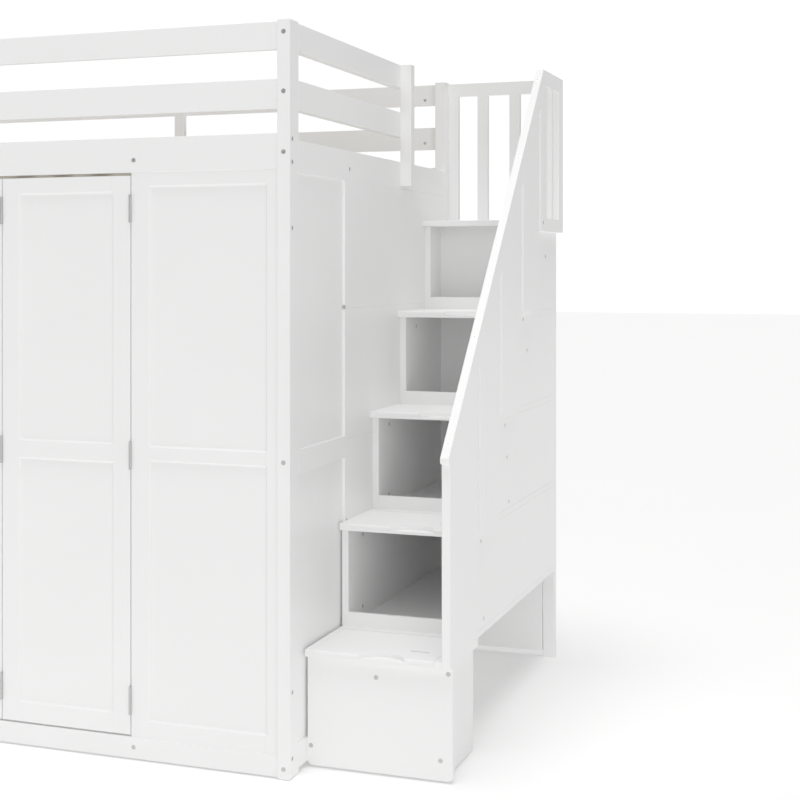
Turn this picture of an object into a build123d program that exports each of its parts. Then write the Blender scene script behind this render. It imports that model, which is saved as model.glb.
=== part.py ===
"""Loft bed with a folding-door wardrobe below and a storage stair on its right end.

Millimetres, +Z up, origin on the floor at the middle of the whole object.
Inside the file a place is given by three plain measures:
  x  from the right end face of the bed, positive towards the stair,
  d  from the front face of the corner posts, positive towards the back,
  z  from the floor.
"""

import os
from math import cos, radians, sin, tan

from build123d import *

os.makedirs("parts", exist_ok=True)

# Bed, overall
bed_length = 1985.0
bed_depth = 1455.0
bed_height = 1904.0
ease = 1.5  # small rounding on board edges

# Corner posts
post_x = 35.0
post_d = 60.0
foot_round = 9.0

# Rails along the bed and across its ends
rail_thick = 22.0
rail_inset = 6.0
end_rail_thick = 28.0
top_rail_z = (1830.0, 1900.0)
mid_rail_z = (1681.0, 1756.0)
side_rail_z = (1530.0, 1620.0)
kick_rail_z = (5.0, 60.0)
strut_width = 38.0
strut_thick = 21.0
strut_bottom = 1600.0

# Entry from the stair
entry_post_size = 35.0
entry_post_d = 902.0
entry_post_bottom = 1531.0

# Mattress support
cleat_z = (1545.0, 1580.0)
cleat_wide = 22.0
slat_thick = 14.0
slat_width = 68.0
slat_count = 14
slat_end_margin = 95.0
beam_wide = 30.0
beam_deep = 58.0

# Front: fixed panels and doors
front_face_d = 8.0  # how far the door faces lie behind the post faces
leaf_thick = 18.0
leaf_width = 390.0  # from hinge line to hinge line
leaf_gap = 3.0
jamb_x = -450.0  # hinge line of the folding pair
stile = 55.0
narrow_stile = 35.0
door_bottom_gap = 5.0
door_top_gap = 8.0
door_bottom_rail = 56.0
door_top_rail = 44.5
mid_rail_low = 770.0
mid_rail_high = 824.0
fixed_bottom_rail = 48.0
fixed_top_rail = 39.0
fixed_mid_low = 779.0
fixed_mid_high = 821.0
bevel = 5.0
panel_thick = 6.0
panel_set_back = 7.0

# Hinges
hinge_long = 73.0
hinge_heights = (155.0, 793.0, 1436.0)
knuckle_r = 3.6
hinge_pin_r = 1.8
hinge_pin_play = 0.05
knuckle_gap = 0.5
hinge_plate = 1.1
hinge_plate_deep = 16.0
hinge_line_d = 4.0

# Knobs
knob_r = 15.0
knob_neck_r = 8.0
knob_out = 24.0
knob_z = 950.0
knob_edge = 28.0  # from the meeting edge of the doors

# Walls
wall_board = 18.0
wall_bottom = 16.0
wall_top_rail_z = (1522.0, 1605.0)
wall_mid_rail_z = (761.0, 821.0)
wall_bottom_rail = 60.0
bay_depth = 406.0  # back edge of the recessed first bay
bay_recess = 7.0
bay_panel = 11.0
wall_seams = (810.0, 1170.0)
rear_stile = 60.0
rear_bays = 4
rear_top_rail = 60.0

# Wardrobe inside
divider_thick = 18.0
divider_deep = 300.0
rod_r = 12.5
rod_flange_r = 26.0
rod_flange = 4.0
rod_d = 240.0
rod_z = 1450.0

# Stair
stair_width = 385.0
outer_board = 22.0
stair_board = 18.0
first_riser_d = 123.0
tread_pitch = 259.5
tread_rise = 281.5
first_tread_z = 306.0
steps = 4
nosing = 20.0
strip_wide = 20.0
box_bottom = 6.0
box_corner_round = 14.0
box_floor_z = 10.0
cubby_back_d = 1282.0
riser_board_thick = 22.0
rear_panel_bottom = 19.0
rear_post_wide = 38.0
rear_post_gap = 5.0
rear_panel_top = 1390.0
glide_r = 8.0

# Lift-up treads
lid_thick = 10.6
lid_lift_gap = 0.4
lid_side_gap = 0.6
lid_rear_gap = 0.6
lid_pivot_back = 225.0  # from the riser plane below the tread
lid_pin_r = 2.0
lid_pin_play = 0.06
lid_pin_hole_play = 0.05
lid_pin_in_lid = 9.0
lid_pin_in_strip = 11.0
ledge_deep = 55.0
notch_chord = 121.0
notch_depth = 43.0
notch_x = 206.0
slot_x = 283.0
slot_long = 52.0
slot_wide = 7.0
slot_back = 82.0  # from the front edge of the lid
lip_high = 38.0  # board across the foot of each open compartment
lip_thick = 12.0

# Stair side boards, handrail and platform guard
outer_boards_d = ((103.0, 369.0), (392.0, 603.0), (630.0, 865.0), (888.0, 1100.0))
outer_boards_z = (288.0, 583.0, 876.0, 1152.0)
handrail_angle = 45.37
handrail_mark_d = 122.0
handrail_mark_z = 846.0
handrail_drop = 85.0  # measured straight down
handrail_front_d = 89.0
handrail_foot_z = 797.0
handrail_round = 17.0
handrail_end_d = 1175.0
guard_top_z = 1900.0
guard_top_rail = 48.0
guard_bottom_z = (1397.0, 1438.0)
guard_post_d = (1123.0, 1211.0)
guard_slat_d = (1277.0, 1307.0)
guard_rear_post_d = 1392.0
rear_guard_top_rail = 42.0
guard_corner_gap = 0.3  # where the rear rails end at the side rails
rear_slat = 35.0
rear_slat_x = (0.0, 101.0, 210.0, 319.0)

# Fasteners
head_r = 6.0
head_thick = 3.5
shank_r = 3.0
hole_play = 0.2
socket_r = 2.6
socket_deep = 2.0
nut_r = 5.0
nut_long = 12.0

# Derived places
x_end = (bed_length + stair_width) / 2 - stair_width
front_reach = knob_out - front_face_d  # how far the knobs stand in front of the posts
y_front = -(bed_depth - front_reach) / 2
left = -bed_length
back = bed_depth
in_left = left + post_x
in_right = -post_x
in_front = post_d
in_back = back - post_d
rail_d = (rail_inset, rail_inset + rail_thick)
rear_rail_d = (back - rail_inset - rail_thick, back - rail_inset)
side_x = stair_width - outer_board  # outer face of the stair's inner side boards
stair_back_d = back - outer_board
door_z = (kick_rail_z[1] + door_bottom_gap, side_rail_z[0] - door_top_gap)
fixed_z = (kick_rail_z[1], side_rail_z[0])
fold_x = jamb_x - leaf_width
meet_x = fold_x - leaf_width
left_jamb_x = meet_x - leaf_width
half_gap = leaf_gap / 2
leaf_back_d = front_face_d + leaf_thick
riser_d = [first_riser_d + i * tread_pitch for i in range(steps + 1)]
tread_z = [first_tread_z + i * tread_rise for i in range(steps + 1)]
platform_z = tread_z[steps]
slope = tan(radians(handrail_angle))


def rail_top(d):
    """Height of the handrail's top edge above a depth d."""
    return handrail_mark_z + (d - handrail_mark_d) * slope


def at(x, d, z):
    """A point of the object from the three plain measures."""
    return (x_end + x, y_front + d, z)


def block(x0, x1, d0, d1, z0, z1, mode=Mode.ADD):
    """A square-edged board between two corners, in the open part."""
    with BuildSketch(Plane.XY.offset(z0)) as outline:
        with Locations((x_end + (x0 + x1) / 2, y_front + (d0 + d1) / 2)):
            Rectangle(x1 - x0, d1 - d0)
    extrude(outline.sketch, amount=z1 - z0, mode=mode)


def boards(boxes, soft=ease):
    """Several boards that don't meet, all with slightly rounded edges."""
    for box in boxes:
        block(*box)
    if soft:
        fillet(get_edges(), soft)


def get_edges():
    """Every edge of the open part."""
    return BuildPart._get_context().edges()


def disc(point, outward, r, depth, mode=Mode.ADD):
    """A round bar that runs inwards from a point on a face."""
    with BuildSketch(Plane(origin=at(*point), z_dir=outward)) as outline:
        Circle(r)
    extrude(outline.sketch, amount=-depth, mode=mode)


def keep(builder, name):
    """Names a finished piece and writes it."""
    builder.part.label = name
    export_step(builder.part, "parts/" + name + ".step")


# Fasteners: heads lie flush in their seats, and every board is drilled for them
FRONT, BACK, RIGHT, UP = (0, -1, 0), (0, 1, 0), (1, 0, 0), (0, 0, 1)
bolt_x = 17.5  # bolts lie on the middle of the posts
rail_mid_d = (rail_d[0] + rail_d[1]) / 2
side_mid_x = side_x - stair_board / 2
end_bolts_z = (1873.0, 1724.0, 1572.0, 794.5, 28.0)
side_bolts_z = (1605.0, 1547.0)
rear_nut_z = (1849.0, 1704.0)
nut_x = 80.0

screws = []  # place of the head, outward direction, length under the head
for z in end_bolts_z:
    screws.append(((-bolt_x, 0, z), FRONT, post_d + 35))
    screws.append(((left + bolt_x, 0, z), FRONT, post_d + 35))
for z in end_bolts_z[:3]:
    screws.append(((left + bolt_x, back, z), BACK, post_d + 35))
screws.append(((-bolt_x, back, end_bolts_z[2]), BACK, post_d + 35))
for z in side_bolts_z:
    screws.append(((0, rail_mid_d, z), RIGHT, post_x + 40))
    screws.append(((0, back - rail_mid_d, z), RIGHT, post_x + 40))
for z in (1382.0, 218.0):
    screws.append(((0, rail_mid_d, z), RIGHT, post_x + 20))
screws.append(((0, rail_mid_d, kick_rail_z[1] - 8), RIGHT, post_x + 40))
for z in rear_nut_z:
    screws.append(((0, back - rail_mid_d, z), RIGHT, nut_x + 3))
divider_mid_x = jamb_x + divider_thick / 2
left_divider_mid_x = left_jamb_x - divider_thick / 2
for x in (divider_mid_x, left_divider_mid_x):
    screws.append(((x, rail_d[0], 1562.0), FRONT, rail_thick + 15))
    screws.append(((x, rail_d[0], 34.0), FRONT, rail_thick + 30))
for d, z in ((444.0, 1555.0), (405.0, 1174.0), (419.0, 588.0)):
    screws.append(((0, d, z), RIGHT, 12.0))
screws.append(((185.0, first_riser_d, 247.0), FRONT, 15.0))
screws.append(((side_x + outer_board / 2, first_riser_d, 273.0), FRONT, 15.0))
for x in (stair_board / 2, side_mid_x):
    screws.append(((x, first_riser_d, 56.0), FRONT, riser_board_thick + 25))
for d, z in ((504.0, 537.0), (503.0, 336.0), (739.0, 822.0), (738.0, 616.0), (1010.0, 1101.0)):
    screws.append(((stair_board, d, z), RIGHT, stair_board + 9))
for d, z in (
    (753.0, 830.0), (777.0, 736.0), (800.0, 605.0), (980.0, 1127.0), (1032.0, 1031.0),
    (1288.0, 1319.0), (483.0, 543.0), (513.0, 328.0),
):
    screws.append(((side_x, d, z), RIGHT, 12.0))
screws.append(((stair_width, 1160.0, 1423.0), RIGHT, outer_board + 12))
uphill = (0, -sin(radians(handrail_angle)), cos(radians(handrail_angle)))
for d in (122.0, 373.0, 612.0, 872.0, 1128.0):
    screws.append(((side_x + outer_board / 2, d, rail_top(d)), uphill, 40.0))

with BuildPart() as fasteners:
    for point, outward, length in screws:
        disc(point, outward, head_r, head_thick)
        disc(point, outward, shank_r, head_thick + length)
    for point, outward, length in screws:
        disc(point, outward, socket_r, socket_deep, Mode.SUBTRACT)
with BuildPart() as drilling:
    for point, outward, length in screws:
        disc(point, outward, head_r + hole_play, head_thick)
        disc(point, outward, shank_r + hole_play, head_thick + length + hole_play)


def drill():
    """Cuts the seats and holes of all fasteners from the open part."""
    add(drilling.part, mode=Mode.SUBTRACT)


with BuildPart() as nuts:
    for z in rear_nut_z:
        disc((-nut_x, rear_rail_d[0], z), FRONT, nut_r, nut_long)
    add(drilling.part, mode=Mode.SUBTRACT)
with BuildPart() as all_fasteners:
    add(fasteners.part)
    add(nuts.part)
keep(all_fasteners, "bolts_screws_and_nuts")


# Posts
def post(x0, d0):
    """A corner post with rounded foot."""
    with BuildPart() as one:
        block(x0, x0 + post_x, d0, d0 + post_d, 0, bed_height)
        fillet(one.edges().filter_by(Axis.Z), ease)
        fillet(one.faces().sort_by(Axis.Z)[0].edges().filter_by(Axis.Y), foot_round)
        fillet(one.faces().sort_by(Axis.Z)[-1].edges(), ease)
    return one.part


for name, d0 in (("front_posts", 0.0), ("rear_posts", in_back)):
    with BuildPart() as posts:
        add(post(-post_x, d0))
        add(post(left, d0))
        drill()
    keep(posts, name)

# Rails
for name, (d0, d1) in (("front_guard_rails", rail_d), ("rear_guard_rails", rear_rail_d)):
    with BuildPart() as guard_rails:
        boards([(in_left, in_right, d0, d1, *z) for z in (top_rail_z, mid_rail_z)])
        drill()
        if d0 == rear_rail_d[0]:
            for z in rear_nut_z:
                disc((-nut_x, d0, z), FRONT, nut_r, nut_long, Mode.SUBTRACT)
    keep(guard_rails, name)

with BuildPart() as side_rails:
    boards([(in_left, in_right, *d, *side_rail_z) for d in (rail_d, rear_rail_d)])
    drill()
keep(side_rails, "side_rails")

entry_post_back = entry_post_d + entry_post_size
with BuildPart() as end_rails:
    boards(
        [(-end_rail_thick, 0, in_front, entry_post_back, *z) for z in (top_rail_z, mid_rail_z)]
        + [(left, left + end_rail_thick, in_front, in_back, *z) for z in (top_rail_z, mid_rail_z)]
    )
    drill()
keep(end_rails, "end_guard_rails")

with BuildPart() as entry_post:
    boards([(0, entry_post_size, entry_post_d, entry_post_back, entry_post_bottom, top_rail_z[1])])
keep(entry_post, "entry_post")

with BuildPart() as struts:
    middle = left / 2
    boards([
        (middle - strut_width / 2, middle + strut_width / 2, d, d + strut_thick,
         strut_bottom, top_rail_z[1])
        for d in (rail_d[1], rear_rail_d[0] - strut_thick)
    ])
keep(struts, "guard_struts")

with BuildPart() as kick_rail:
    boards([(in_left, in_right, *rail_d, *kick_rail_z)])
    drill()
keep(kick_rail, "kick_rail")

# Mattress support
rear_cleat_d = rear_rail_d[0] - cleat_wide
with BuildPart() as cleats:
    boards([
        (in_left, in_right, rail_d[1], rail_d[1] + cleat_wide, *cleat_z),
        (in_left, in_right, rear_cleat_d, rear_rail_d[0], *cleat_z),
    ])
    drill()
keep(cleats, "slat_cleats")

with BuildPart() as slats:
    span = bed_length - 2 * slat_end_margin
    for i in range(slat_count):
        x = left + slat_end_margin + i * span / (slat_count - 1)
        block(x - slat_width / 2, x + slat_width / 2, rail_d[1], rear_rail_d[0],
              cleat_z[1], cleat_z[1] + slat_thick)
    fillet(slats.edges().filter_by(Axis.Y), ease)
keep(slats, "bed_slats")

with BuildPart() as centre_beam:
    boards([(left + end_rail_thick, -end_rail_thick, back / 2 - beam_wide / 2,
             back / 2 + beam_wide / 2, cleat_z[1] - beam_deep, cleat_z[1])])
keep(centre_beam, "centre_beam")

# End walls
bay_x = -bay_recess - bay_panel


def both_ends(x0, x1):
    """The same stretch at the right end and, mirrored, at the left end."""
    return ((x0, x1), (left - x1, left - x0))


with BuildPart() as wall_rails:
    boards([
        (x0, x1, in_front, d1, *z)
        for x0, x1 in both_ends(-end_rail_thick, 0)
        for d1, z in (
            (in_back, wall_top_rail_z),
            (bay_depth, wall_mid_rail_z),
            (bay_depth, (wall_bottom, wall_bottom + wall_bottom_rail)),
        )
    ])
    drill()
keep(wall_rails, "end_wall_rails")

with BuildPart() as bay_panels:
    boards([
        (x0, x1, in_front, bay_depth, *z)
        for x0, x1 in both_ends(bay_x, -bay_recess)
        for z in (
            (wall_bottom + wall_bottom_rail, wall_mid_rail_z[0]),
            (wall_mid_rail_z[1], wall_top_rail_z[0]),
        )
    ], 0)
    drill()
keep(bay_panels, "end_wall_bay_panels")

seams = (wall_bottom, *wall_seams, wall_top_rail_z[0])
for name, levels in (("end_wall_boards_low_and_high", (0, 2)), ("end_wall_boards_middle", (1,))):
    with BuildPart() as wall_row:
        boards([
            (x0, x1, bay_depth, in_back, seams[n], seams[n + 1])
            for x0, x1 in both_ends(-wall_board, 0)
            for n in levels
        ])
        drill()
    keep(wall_row, name)

# Rear wall
wall_d = ((rear_rail_d[0] + rear_rail_d[1]) / 2 - wall_board / 2,
          (rear_rail_d[0] + rear_rail_d[1]) / 2 + wall_board / 2)
rear_low = wall_bottom + wall_bottom_rail
rear_high = side_rail_z[0] - rear_top_rail
bay_pitch = (in_right - in_left - rear_stile) / rear_bays
with BuildPart() as rear_wall_rails:
    boards([
        (in_left, in_right, *wall_d, wall_bottom, rear_low),
        (in_left, in_right, *wall_d, rear_high, side_rail_z[0]),
    ])
keep(rear_wall_rails, "rear_wall_rails")

with BuildPart() as rear_wall_stiles:
    boards([
        (in_left + i * bay_pitch, in_left + i * bay_pitch + rear_stile, *wall_d, rear_low, rear_high)
        for i in range(rear_bays + 1)
    ])
keep(rear_wall_stiles, "rear_wall_stiles")

with BuildPart() as rear_wall_panels:
    for i in range(rear_bays):
        x = in_left + i * bay_pitch
        block(x + rear_stile, x + bay_pitch, wall_d[0] + panel_set_back,
              wall_d[0] + panel_set_back + panel_thick, rear_low, rear_high)
keep(rear_wall_panels, "rear_wall_panels")


# Framed leaves: two stiles, three rails and two panels
def leaf(name, x0, x1, left_stile, right_stile, z, low_rail, top_rail, mid):
    """The solids of one framed leaf between x0 and x1, with bevelled window edges."""
    z0, z1 = z
    wx0, wx1 = x0 + left_stile, x1 - right_stile
    windows = ((z0 + low_rail, mid[0]), (mid[1], z1 - top_rail))
    depth = (front_face_d, leaf_back_d)

    def cut_bevels():
        for w0, w1 in windows:
            centre = at((wx0 + wx1) / 2, front_face_d, (w0 + w1) / 2)
            with BuildSketch(Plane(origin=centre, x_dir=(1, 0, 0), z_dir=BACK)) as window:
                Rectangle(wx1 - wx0 + 2 * bevel, w1 - w0 + 2 * bevel)
            extrude(window.sketch, amount=bevel, taper=45, mode=Mode.SUBTRACT)

    with BuildPart() as stiles:
        boards([(x0, wx0, *depth, z0, z1), (wx1, x1, *depth, z0, z1)], 1.0)
        cut_bevels()
        drill()
    with BuildPart() as rails:
        for r0, r1 in ((z0, windows[0][0]), (windows[0][1], windows[1][0]), (windows[1][1], z1)):
            block(wx0, wx1, *depth, r0, r1)
        cut_bevels()
        drill()
    with BuildPart() as panels:
        for w0, w1 in windows:
            block(wx0, wx1, front_face_d + panel_set_back,
                  front_face_d + panel_set_back + panel_thick, w0, w1)
        drill()
    return stiles, rails, panels


door_mid = (mid_rail_low, mid_rail_high)
fixed_mid = (fixed_mid_low, fixed_mid_high)
for name, x_left in (("door_a", fold_x), ("door_b", meet_x), ("door_c", left_jamb_x)):
    made = leaf(name, x_left + half_gap, x_left + leaf_width - half_gap, stile, stile,
                door_z, door_bottom_rail, door_top_rail, door_mid)
    for piece, suffix in zip(made, ("_stiles", "_rails", "_panels")):
        keep(piece, name + suffix)

right_fixed = leaf("fixed_right", jamb_x + half_gap, in_right, stile, narrow_stile,
                   fixed_z, fixed_bottom_rail, fixed_top_rail, fixed_mid)
left_fixed = leaf("fixed_left", in_left, left_jamb_x - half_gap, narrow_stile, stile,
                  fixed_z, fixed_bottom_rail, fixed_top_rail, fixed_mid)
for one, other, suffix in zip(right_fixed, left_fixed, ("stiles", "rails", "panels")):
    with BuildPart() as fixed:
        add(one.part)
        add(other.part)
    keep(fixed, "fixed_front_" + suffix)

# Knobs
for name, x in (("door_b_knob", meet_x + knob_edge), ("door_c_knob", meet_x - knob_edge)):
    with BuildPart() as knob:
        disc((x, front_face_d, knob_z), FRONT, knob_neck_r, -knob_out * 0.6)
        disc((x, front_face_d - knob_out * 0.45, knob_z), FRONT, knob_r, -knob_out * 0.55)
        fillet(knob.edges().group_by(Axis.Y)[0], 3.0)
    keep(knob, name)


# Hinges: knuckles on the front, plates between the edges
def hinge_leaf(hinge_x, side, outer):
    """Hinge leaves on one side of a hinge line: outer knuckles with the pin, or middle ones."""
    third = hinge_long / 3
    for height in hinge_heights:
        low = height - hinge_long / 2
        plate_near = half_gap - hinge_plate
        x0, x1 = sorted((hinge_x + side * plate_near, hinge_x + side * half_gap))
        block(x0, x1, front_face_d, front_face_d + hinge_plate_deep, low, low + hinge_long)
        spans = ((low, low + third - knuckle_gap), (low + 2 * third + knuckle_gap, low + hinge_long))
        if not outer:
            spans = ((low + third, low + 2 * third),)
        for z0, z1 in spans:
            block(x0, x1, hinge_line_d, front_face_d + hinge_plate / 2, z0, z1)
            disc((hinge_x, hinge_line_d, z1), UP, knuckle_r, z1 - z0)
        bar = hinge_pin_r if outer else hinge_pin_r + hinge_pin_play
        disc((hinge_x, hinge_line_d, low + hinge_long), UP, bar, hinge_long,
             Mode.ADD if outer else Mode.SUBTRACT)


with BuildPart() as frame_hinges:
    hinge_leaf(jamb_x, 1, True)
    hinge_leaf(left_jamb_x, -1, True)
keep(frame_hinges, "frame_hinge_leaves")
for name, hinge_x, side, outer in (
    ("jamb_hinge_door_leaves", jamb_x, -1, False),
    ("fold_hinge_outer_leaves", fold_x, 1, True),
    ("fold_hinge_inner_leaves", fold_x, -1, False),
    ("left_hinge_door_leaves", left_jamb_x, 1, False),
):
    with BuildPart() as hinges:
        hinge_leaf(hinge_x, side, outer)
    keep(hinges, name)

# Wardrobe inside
with BuildPart() as dividers:
    boards([
        (x - divider_thick / 2, x + divider_thick / 2, rail_d[1], rail_d[1] + divider_deep,
         wall_bottom, cleat_z[0])
        for x in (divider_mid_x, left_divider_mid_x)
    ])
    drill()
keep(dividers, "wardrobe_dividers")

with BuildPart() as rod:
    disc((jamb_x, rod_d, rod_z), RIGHT, rod_r, jamb_x - left_jamb_x)
    disc((jamb_x, rod_d, rod_z), RIGHT, rod_flange_r, rod_flange)
    disc((left_jamb_x + rod_flange, rod_d, rod_z), RIGHT, rod_flange_r, rod_flange)
keep(rod, "hanging_rod")

# Stair: first box
box_back_d = riser_d[1]
box_top = tread_z[0] - stair_board
with BuildPart() as box_ends:
    with BuildSketch(Plane(origin=at(stair_width / 2, first_riser_d, (box_bottom + box_top) / 2),
                           x_dir=(1, 0, 0), z_dir=FRONT)) as riser_face:
        Rectangle(stair_width, box_top - box_bottom)
        fillet(riser_face.vertices().group_by(Axis.Y)[0], box_corner_round)
    extrude(amount=-riser_board_thick)
    block(0, side_x, box_back_d, box_back_d + stair_board, box_bottom, box_top)
    drill()
keep(box_ends, "stair_box_front_and_back")

box_front_d = first_riser_d + riser_board_thick
with BuildPart() as box_floor:
    boards([(stair_board, side_x - stair_board, box_front_d, box_back_d, box_floor_z,
             box_floor_z + stair_board)], 0)
    for x in (stair_board / 2, side_mid_x):
        for d in (box_front_d + 2 * glide_r, box_back_d + stair_board / 2):
            disc((x, d, box_bottom), UP, glide_r, box_bottom)
keep(box_floor, "stair_box_floor_and_glides")

# Stair: side boards of each row
rows = [(box_front_d, box_back_d, box_bottom, box_top)]
rows += [(riser_d[i], stair_back_d, tread_z[i - 1], tread_z[i] - stair_board)
         for i in range(1, steps + 1)]
for name, x0 in (("stair_left_sides", 0.0), ("stair_right_sides", side_x - stair_board)):
    with BuildPart() as sides:
        boards([(x0, x0 + stair_board, *row) for row in rows], 1.0)
        drill()
    keep(sides, name)

# Stair: treads
strip_d0 = [riser_d[i] - nosing for i in range(steps)]
pivot_d = [riser_d[i] + lid_pivot_back for i in range(steps)]
lid_round = lid_thick / 2
lid_x = (strip_wide + lid_side_gap, side_x - strip_wide - lid_side_gap)
with BuildPart() as pin_holes:
    for i in range(steps):
        for x in (strip_wide, side_x - strip_wide + lid_pin_in_strip):
            disc((x, pivot_d[i], tread_z[i] - lid_round), RIGHT,
                 lid_pin_r + lid_pin_hole_play, lid_pin_in_strip)

with BuildPart() as strips:
    boards([
        (x0, x0 + strip_wide, strip_d0[i], stair_back_d, tread_z[i] - stair_board, tread_z[i])
        for x0 in (0.0, side_x - strip_wide)
        for i in range(steps)
    ], 1.0)
    add(pin_holes.part, mode=Mode.SUBTRACT)
    drill()
keep(strips, "tread_side_strips")

with BuildPart() as decks:
    for i in range(steps):
        block(strip_wide, side_x - strip_wide, pivot_d[i] + lid_round + lid_rear_gap,
              cubby_back_d + stair_board, tread_z[i] - stair_board, tread_z[i])
keep(decks, "tread_decks")

with BuildPart() as ledges:
    for i in range(steps):
        block(strip_wide, side_x - strip_wide, strip_d0[i], strip_d0[i] + ledge_deep,
              tread_z[i] - stair_board, tread_z[i] - lid_thick - lid_lift_gap)
keep(ledges, "tread_ledges")

notch_r = (notch_depth ** 2 + (notch_chord / 2) ** 2) / (2 * notch_depth)
for i in range(steps):
    z0 = tread_z[i] - lid_thick
    with BuildPart() as lid:
        block(*lid_x, strip_d0[i], pivot_d[i], z0, tread_z[i])
        fillet(lid.faces().sort_by(Axis.Y)[0].edges().filter_by(Axis.X).sort_by(Axis.Z)[-1:], 3.0)
        disc((lid_x[1], pivot_d[i], tread_z[i] - lid_round), RIGHT, lid_round, lid_x[1] - lid_x[0])
        with BuildSketch(Plane.XY.offset(z0)):
            with Locations((x_end + notch_x, y_front + strip_d0[i] + notch_depth - notch_r)):
                Circle(notch_r)
            with Locations((x_end + slot_x, y_front + strip_d0[i] + slot_back)):
                SlotOverall(slot_long, slot_wide)
        extrude(amount=lid_thick, mode=Mode.SUBTRACT)
        for x in (lid_x[0] + lid_pin_in_lid, lid_x[1]):
            disc((x, pivot_d[i], tread_z[i] - lid_round), RIGHT,
                 lid_pin_r + lid_pin_play, lid_pin_in_lid, Mode.SUBTRACT)
    keep(lid, "tread_lid_" + str(i + 1))

with BuildPart() as pins:
    pin_long = lid_pin_in_strip + lid_side_gap + lid_pin_in_lid - 1.0
    for i in range(steps):
        for x in (strip_wide - lid_pin_in_strip + pin_long,
                  side_x - strip_wide + lid_pin_in_strip):
            disc((x, pivot_d[i], tread_z[i] - lid_round), RIGHT, lid_pin_r, pin_long)
keep(pins, "lid_pins")

# Stair: platform, backs, rear panel and rear post
with BuildPart() as platform:
    boards([(0, side_x, riser_d[steps] - nosing, stair_back_d, platform_z - stair_board, platform_z)])
    drill()
keep(platform, "platform_board")

with BuildPart() as backs:
    for i in range(1, steps + 1):
        block(stair_board, side_x - stair_board, cubby_back_d, cubby_back_d + stair_board,
              tread_z[i - 1], tread_z[i] - stair_board)
    for i in range(1, steps + 1):
        block(stair_board, side_x - stair_board, riser_d[i], riser_d[i] + lip_thick,
              tread_z[i - 1], tread_z[i - 1] + lip_high)
    drill()
keep(backs, "cubby_backs_and_lips")

rear_post_x = side_x - rear_post_wide
with BuildPart() as stair_rear:
    boards([
        (0, rear_post_x - rear_post_gap, stair_back_d, back, rear_panel_bottom, rear_panel_top),
        (rear_post_x, side_x, stair_back_d, back, 0, rear_panel_top),
    ])
keep(stair_rear, "stair_rear_panel_and_post")


# Stair: boards under the handrail, handrail and platform guard
def side_shape(points):
    """A board of the outer plane from its outline in depth and height."""
    with BuildSketch(Plane(origin=at(side_x, 0, 0), x_dir=(0, 1, 0), z_dir=RIGHT)) as outline:
        with BuildLine():
            Polyline(*points, close=True)
        make_face()
    extrude(outline.sketch, amount=outer_board)


def rail_under(d):
    """Height of the handrail's lower edge above a depth d."""
    return max(rail_top(d) - handrail_drop, handrail_foot_z)


foot_end_d = handrail_mark_d + (handrail_foot_z + handrail_drop - handrail_mark_z) / slope
with BuildPart() as outer_boards:
    for (d0, d1), z0 in zip(outer_boards_d, outer_boards_z):
        top = [(d1, rail_under(d1)), (d0, rail_under(d0))]
        if d0 < foot_end_d < d1:
            top.insert(1, (foot_end_d, handrail_foot_z))
        side_shape([(d0, z0), (d1, z0), *top])
    fillet(outer_boards.edges().filter_by(Axis.Z), ease)
    drill()
keep(outer_boards, "stair_outer_boards")

top_end_d = handrail_mark_d + (guard_top_z - handrail_mark_z) / slope
with BuildPart() as handrail:
    side_shape([
        (handrail_front_d, handrail_foot_z),
        (foot_end_d, handrail_foot_z),
        (handrail_end_d, rail_under(handrail_end_d)),
        (handrail_end_d, guard_top_z),
        (top_end_d, guard_top_z),
        (handrail_front_d, rail_top(handrail_front_d)),
    ])
    front_corners = handrail.edges().filter_by(Axis.X).group_by(Axis.Y)[0]
    fillet(front_corners.sort_by(Axis.Z)[:1], handrail_round * 0.4)
    drill()
keep(handrail, "handrail")

guard_rail_low = guard_top_z - guard_top_rail
with BuildPart() as uprights:
    side_shape([
        (guard_post_d[0], guard_bottom_z[1]),
        (guard_post_d[1], guard_bottom_z[1]),
        (guard_post_d[1], guard_rail_low),
        (handrail_end_d, guard_rail_low),
        (handrail_end_d, rail_under(handrail_end_d)),
        (guard_post_d[0], rail_under(guard_post_d[0])),
    ])
    for d0, d1 in (guard_slat_d, (guard_rear_post_d, back)):
        block(side_x, stair_width, d0, d1, guard_bottom_z[1], guard_rail_low)
    for x in rear_slat_x:
        block(x, x + rear_slat, stair_back_d, back, platform_z, guard_top_z - rear_guard_top_rail)
    fillet(uprights.edges().filter_by(Axis.Z), 1.0)
    drill()
keep(uprights, "platform_guard_uprights")

with BuildPart() as guard_bars:
    boards([
        (side_x, stair_width, handrail_end_d, back, guard_rail_low, guard_top_z),
        (side_x, stair_width, guard_post_d[0], back, *guard_bottom_z),
        (0, side_x - guard_corner_gap, stair_back_d, back,
         guard_top_z - rear_guard_top_rail, guard_top_z),
        (0, side_x - guard_corner_gap, stair_back_d, back, rear_panel_top, platform_z),
    ], 0)
    drill()
keep(guard_bars, "platform_guard_rails")
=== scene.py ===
"""Looks of the loft bed: paint, timber and metal on the fixed frame, a pale floor and soft studio light."""

import math

import bpy
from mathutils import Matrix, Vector


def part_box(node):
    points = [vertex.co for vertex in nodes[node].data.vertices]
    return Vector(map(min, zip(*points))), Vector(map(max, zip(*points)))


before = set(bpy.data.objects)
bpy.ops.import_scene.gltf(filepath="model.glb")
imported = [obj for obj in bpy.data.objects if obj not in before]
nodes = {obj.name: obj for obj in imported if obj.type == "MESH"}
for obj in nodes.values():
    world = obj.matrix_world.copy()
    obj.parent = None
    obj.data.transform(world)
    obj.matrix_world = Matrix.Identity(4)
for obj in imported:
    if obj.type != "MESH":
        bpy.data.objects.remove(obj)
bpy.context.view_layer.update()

scene = bpy.context.scene

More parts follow.
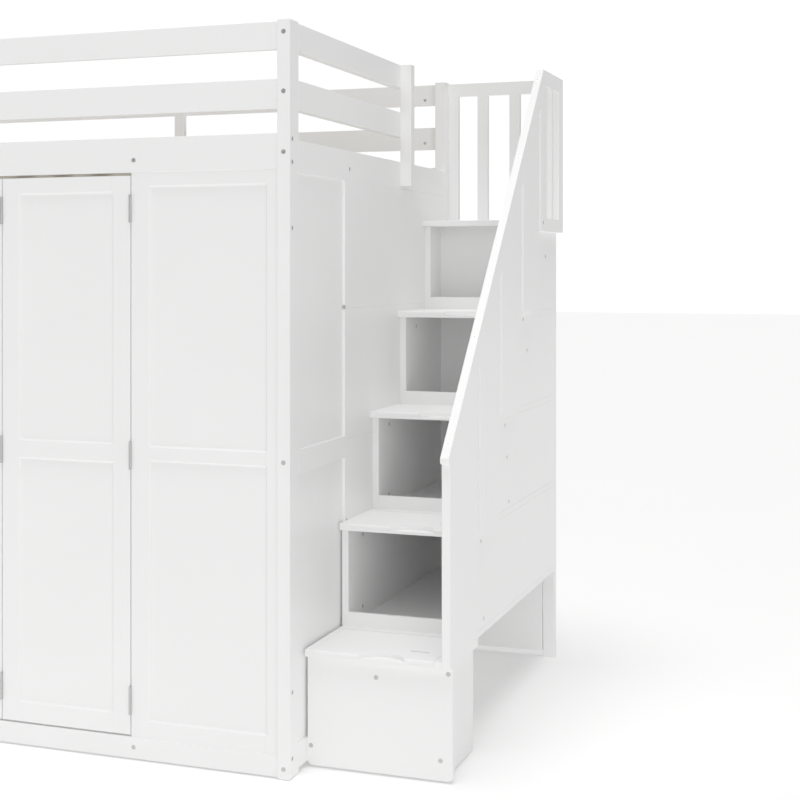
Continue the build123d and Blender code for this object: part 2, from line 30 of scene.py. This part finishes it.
# Tones, as linear levels
WHITE = 0.93  # the bed's paint
SHADE = 0.982  # its darker clouds, as a share of it
WARMTH = 0.996  # blue of a grey, as a share of its red
FLOOR = (0.93, 0.945)
PINE = ((0.68, 0.60, 0.48), (0.84, 0.78, 0.67))

# The camera that was fitted to the photograph, in its pixels and in metres from the right front post
LENS_PX, CENTRE_X, CENTRE_Y, SIDE = 1523.6, 309.4, 268.2, 800
SENSOR_MM = 36.0
CAMERA_RIGHT, CAMERA_FRONT, CAMERA_HEIGHT = 1.4162, 3.5270, 1.2808
CAMERA_YAW = 21.142

FLOOR_REACH = 40.0


# Materials
class Tree:
    """A material, with short calls that add and join its nodes."""

    def __init__(self, name):
        self.material = bpy.data.materials.new(name)
        self.material.use_nodes = True
        self.tree = self.material.node_tree
        self.shader = self.tree.nodes["Principled BSDF"]

    def set(self, **values):
        """Sets sockets of the shader, with _ for a space in their names."""
        for key, value in values.items():
            self.shader.inputs[key.replace("_", " ")].default_value = value

    def add(self, kind):
        return self.tree.nodes.new(kind)

    def join(self, a, out, b, into):
        self.tree.links.new(a.outputs[out], b.inputs[into])

    def coords(self, stretch=(1, 1, 1)):
        """Coordinates of the object, stretched along its axes."""
        where = self.add("ShaderNodeTexCoord")
        mapping = self.add("ShaderNodeMapping")
        mapping.inputs["Scale"].default_value = stretch
        self.join(where, "Object", mapping, "Vector")
        return mapping

    def noise(self, mapping, scale, detail, rough):
        noise = self.add("ShaderNodeTexNoise")
        noise.inputs["Scale"].default_value = scale
        noise.inputs["Detail"].default_value = detail
        noise.inputs["Roughness"].default_value = rough
        self.join(mapping, "Vector", noise, "Vector")
        return noise

    def colour(self, source, low, high, dark, light):
        """The base colour, from dark to light as the noise goes from low to high."""
        ramp = self.add("ShaderNodeValToRGB")
        for stop, place, tone in zip(ramp.color_ramp.elements, (low, high), (dark, light)):
            stop.position = place
            stop.color = (*tone, 1)
        self.join(source, "Fac", ramp, "Fac")
        self.join(ramp, "Color", self.shader, "Base Color")

    def roughness(self, source, low, high):
        """The roughness, from low to high with the noise."""
        gloss = self.add("ShaderNodeMapRange")
        gloss.inputs["To Min"].default_value = low
        gloss.inputs["To Max"].default_value = high
        self.join(source, "Fac", gloss, "Value")
        self.join(gloss, "Result", self.shader, "Roughness")

    def bump(self, *layers):
        """Fine relief: each layer is a noise, a strength and a depth in metres."""
        below = None
        for source, strength, depth in layers:
            bump = self.add("ShaderNodeBump")
            bump.inputs["Strength"].default_value = strength
            bump.inputs["Distance"].default_value = depth
            self.join(source, "Fac", bump, "Height")
            if below:
                self.join(below, "Normal", bump, "Normal")
            below = bump
        self.join(below, "Normal", self.shader, "Normal")


def along(axis, long):
    """A stretch that draws noise out along one axis, as grain runs."""
    return tuple(long if i == axis else 1.0 for i in range(3))


def grey(level):
    """A nearly neutral colour from its linear level."""
    return (level, level, level * WARMTH)


def paint(name, axis, grain):
    """White satin paint: grain along the board, roller texture and slight clouds of tone."""
    t = Tree(name)
    t.set(Specular_IOR_Level=0.32, Coat_Weight=0.08, Coat_Roughness=0.3)
    board_grain = t.noise(t.coords(along(axis, 0.06)), 90.0, 6.0, 0.62)
    even = t.coords()
    roller = t.noise(even, 420.0, 2.0, 0.5)
    cloud = t.noise(even, 2.6, 3.0, 0.5)
    t.colour(cloud, 0.3, 0.7, grey(WHITE * SHADE), grey(WHITE))
    t.roughness(board_grain, 0.36, 0.5)
    t.bump((board_grain, grain, 0.0006), (roller, 0.12, 0.0002))
    return t.material


def timber(name, axis):
    """Planed pine: growth rings drawn out along the board, fine pores and a dull finish."""
    t = Tree(name)
    t.set(Specular_IOR_Level=0.25)
    board = t.coords(along(axis, 0.09))
    rings = t.noise(board, 26.0, 5.0, 0.6)
    pores = t.noise(board, 260.0, 3.0, 0.6)
    t.colour(rings, 0.35, 0.68, *PINE)
    t.roughness(pores, 0.5, 0.7)
    t.bump((pores, 0.25, 0.0004))
    return t.material


def metal(name, low, high, rough):
    """Plated steel with fine handling marks."""
    t = Tree(name)
    t.set(Metallic=1.0)
    marks = t.noise(t.coords(), 600.0, 3.0, 0.6)
    t.colour(marks, 0.3, 0.7, grey(low), grey(high))
    t.roughness(marks, rough - 0.08, rough + 0.1)
    t.bump((marks, 0.15, 0.0001))
    return t.material


rail_paint = [paint("paint_rail_" + "xyz"[i], i, 0.35) for i in range(3)]
board_paint = [paint("paint_board_" + "xyz"[i], i, 0.12) for i in range(3)]
pine = [timber("pine_" + "xyz"[i], i) for i in range(2)]
zinc = metal("zinc", 0.42, 0.6, 0.34)
steel = metal("hinge_steel", 0.34, 0.5, 0.3)
chrome = metal("rod_steel", 0.6, 0.75, 0.22)

# Each material with its nodes; grain runs along x, y or z
wearers = (
    (rail_paint[0], (
        "front_guard_rails", "rear_guard_rails", "side_rails", "kick_rail", "fixed_front_rails",
        "door_a_rails", "door_b_rails", "door_c_rails", "rear_wall_rails",
    )),
    (rail_paint[1], ("end_guard_rails", "end_wall_rails", "handrail", "platform_guard_rails")),
    (rail_paint[2], (
        "front_posts", "rear_posts", "entry_post", "guard_struts", "fixed_front_stiles",
        "door_a_stiles", "door_b_stiles", "door_c_stiles", "rear_wall_stiles",
        "platform_guard_uprights",
    )),
    (board_paint[0], (
        "platform_board", "tread_decks", "tread_ledges", "tread_lid_1", "tread_lid_2",
        "tread_lid_3", "tread_lid_4", "stair_box_front_and_back", "stair_box_floor_and_glides",
    )),
    (board_paint[1], (
        "tread_side_strips", "stair_left_sides", "stair_right_sides", "end_wall_boards_middle",
        "end_wall_boards_low_and_high",
    )),
    (board_paint[2], (
        "stair_outer_boards", "stair_rear_panel_and_post", "end_wall_bay_panels",
        "cubby_backs_and_lips", "door_a_panels", "door_b_panels", "door_c_panels",
        "fixed_front_panels", "rear_wall_panels", "wardrobe_dividers", "door_b_knob", "door_c_knob",
    )),
    (pine[0], ("slat_cleats", "centre_beam")),
    (pine[1], ("bed_slats",)),
    (zinc, ("bolts_screws_and_nuts",)),
    (steel, (
        "frame_hinge_leaves", "jamb_hinge_door_leaves", "fold_hinge_outer_leaves",
        "fold_hinge_inner_leaves", "left_hinge_door_leaves", "lid_pins",
    )),
    (chrome, ("hanging_rod",)),
)
for material, names in wearers:
    for name in names:
        slots = nodes[name].data.materials
        slots.clear()
        slots.append(material)

# Floor
floor_mesh = bpy.data.meshes.new("floor")
corners = [(x * FLOOR_REACH, y * FLOOR_REACH, 0) for x, y in ((-1, -1), (1, -1), (1, 1), (-1, 1))]
floor_mesh.from_pydata(corners, [], [(0, 1, 2, 3)])
floor = bpy.data.objects.new("floor", floor_mesh)
scene.collection.objects.link(floor)
floor_look = Tree("floor")
floor_look.set(
    Roughness=0.9, Specular_IOR_Level=0.1, Emission_Color=(1, 1, 1, 1), Emission_Strength=0.13,
)
floor_look.colour(floor_look.noise(floor_look.coords(), 0.6, 2.0, 0.5), 0.3, 0.7, *map(grey, FLOOR))
floor_mesh.materials.append(floor_look.material)

# Light: a weak white sky that shows as a white backdrop, and broad soft suns
world = bpy.data.worlds.new("studio")
scene.world = world
world.use_nodes = True
sky = world.node_tree.nodes["Background"]
backdrop = world.node_tree.nodes.new("ShaderNodeBackground")
for background, strength in ((sky, 0.14), (backdrop, 1.05)):
    background.inputs["Color"].default_value = (1, 1, 1, 1)
    background.inputs["Strength"].default_value = strength
rays = world.node_tree.nodes.new("ShaderNodeLightPath")
mix = world.node_tree.nodes.new("ShaderNodeMixShader")
link = world.node_tree.links.new
link(rays.outputs["Is Camera Ray"], mix.inputs[0])
link(sky.outputs[0], mix.inputs[1])
link(backdrop.outputs[0], mix.inputs[2])
link(mix.outputs[0], world.node_tree.nodes["World Output"].inputs["Surface"])


def sun(name, towards, strength, spread):
    """A broad soft light that shines in one direction."""
    data = bpy.data.lights.new(name, "SUN")
    data.energy = strength
    data.angle = math.radians(spread)
    lamp = bpy.data.objects.new(name, data)
    lamp.rotation_euler = Vector(towards).to_track_quat("-Z", "Y").to_euler()
    scene.collection.objects.link(lamp)


sun("front_fill", (-0.45, 0.89, -0.04), 0.86, 50)
sun("right_fill", (-0.80, 0.45, -0.30), 0.2, 60)
sun("key", (0.05, 0.45, -0.89), 0.2, 60)
sun("top", (0.0, 0.12, -1.0), 1.95, 40)

# Camera
posts_low, posts_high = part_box("front_posts")
camera_data = bpy.data.cameras.new("camera")
camera_data.sensor_width = SENSOR_MM
camera_data.lens = LENS_PX / SIDE * SENSOR_MM
camera_data.shift_x = (SIDE / 2 - CENTRE_X) / SIDE
camera_data.shift_y = -(SIDE / 2 - CENTRE_Y) / SIDE
camera_data.clip_end = 200
camera = bpy.data.objects.new("camera", camera_data)
camera.location = (posts_high.x + CAMERA_RIGHT, posts_low.y - CAMERA_FRONT, CAMERA_HEIGHT)
camera.rotation_euler = (math.radians(90), 0, math.radians(CAMERA_YAW))
scene.collection.objects.link(camera)
scene.camera = camera
scene.view_settings.view_transform = "Standard"
scene.view_settings.gamma = 1.45
